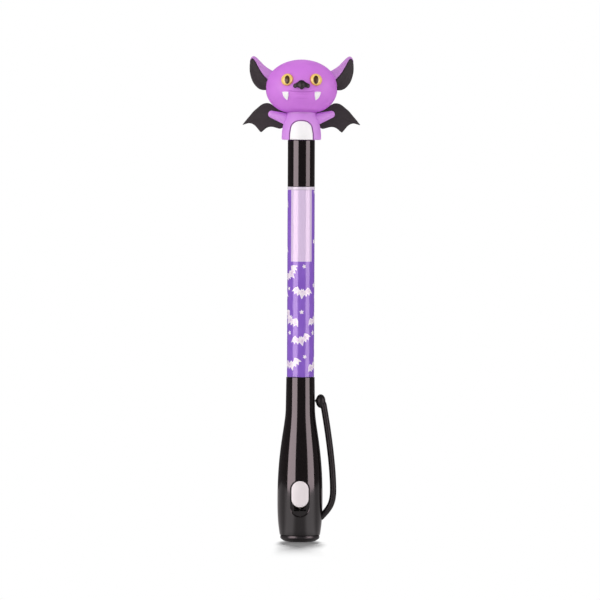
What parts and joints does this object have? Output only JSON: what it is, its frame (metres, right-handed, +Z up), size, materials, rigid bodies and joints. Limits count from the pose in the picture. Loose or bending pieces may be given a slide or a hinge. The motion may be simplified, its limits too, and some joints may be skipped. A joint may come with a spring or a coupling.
{
  "type": "invisible ink pen",
  "caption": "Capped marker for invisible ink, with an ultraviolet light and slide switch in its bulb-shaped cap, a pocket clip and a winged bat figure on the tail.",
  "frame": {"origin": "centre of the bezel's flat end face, which the pen stands on", "axes": "+Z up the pen from its light to the bat, -Y the side with the switch and the bat's face, +X the side with the pocket clip"},
  "size_m": [0.0426, 0.0212, 0.1745],
  "materials": {
    "cap_black": "polished",
    "light_lens": "clear, polished",
    "cradle_black": "as moulded",
    "nickel": "nickel plated",
    "brass": "bright strip",
    "white_plastic": "satin",
    "switch_white": "satin",
    "label_film": "printed film",
    "fibre": "bonded fibre",
    "bat_purple": "soft, matte",
    "bat_black": "soft, matte",
    "bat_white": "soft, matte",
    "eye_yellow": "satin paint",
    "pupil_brown": "satin paint"
  },
  "bodies": {
    "light_module": {"end_bezel": "cap_black", "uv_light": "light_lens", "light_lead": "nickel", "battery_cradle": "cradle_black", "button_cell_1": "nickel", "button_cell_2": "nickel", "button_cell_3": "nickel", "negative_contact": "brass", "positive_contact": "brass"},
    "cap": {"cap_shell": "cap_black", "inner_cap": "white_plastic"},
    "switch": {"switch_button": "switch_white", "switch_keeper": "white_plastic", "switch_wiper": "brass"},
    "clip": {"pocket_clip": "cap_black"},
    "pen": {"barrel": "white_plastic", "label_sleeve": "label_film", "nose_cone": "white_plastic", "nib": "fibre", "ink_reservoir": "fibre", "tail_plug": "cap_black", "bat_body": "bat_purple", "belly_patch": "bat_white", "bat_head": "bat_purple", "bat_nose": "bat_black", "bat_arm_left": "bat_purple", "bat_arm_right": "bat_purple", "bat_wing_left": "bat_black", "bat_wing_right": "bat_black", "bat_ear_left": "bat_purple", "bat_ear_right": "bat_purple", "bat_inner_ear_left": "bat_black", "bat_inner_ear_right": "bat_black", "bat_eye_left": "eye_yellow", "bat_eye_right": "eye_yellow", "bat_pupil_left": "pupil_brown", "bat_pupil_right": "pupil_brown", "bat_fang_left": "bat_white", "bat_fang_right": "bat_white"}
  },
  "joints": [
    {"name": "cap_pull", "type": "slide", "parent": "light_module", "child": "cap", "axis": [0, 0, 1], "range_m": [0, 0.0231]},
    {"name": "pen_pull", "type": "slide", "parent": "cap", "child": "pen", "axis": [0, 0, 1], "range_m": [0, 0.03]},
    {"name": "switch_slide", "type": "slide", "parent": "cap", "child": "switch", "axis": [0, 0, -1], "range_m": [0, 0.0032]},
    {"name": "clip_flex", "type": "hinge", "parent": "cap", "child": "clip", "pos_m": [0.00806, 0, 0.00595], "axis": [0, 1, 0], "range_deg": [0, 5], "stiffness_Nm_per_rad": 0.3}
  ]
}
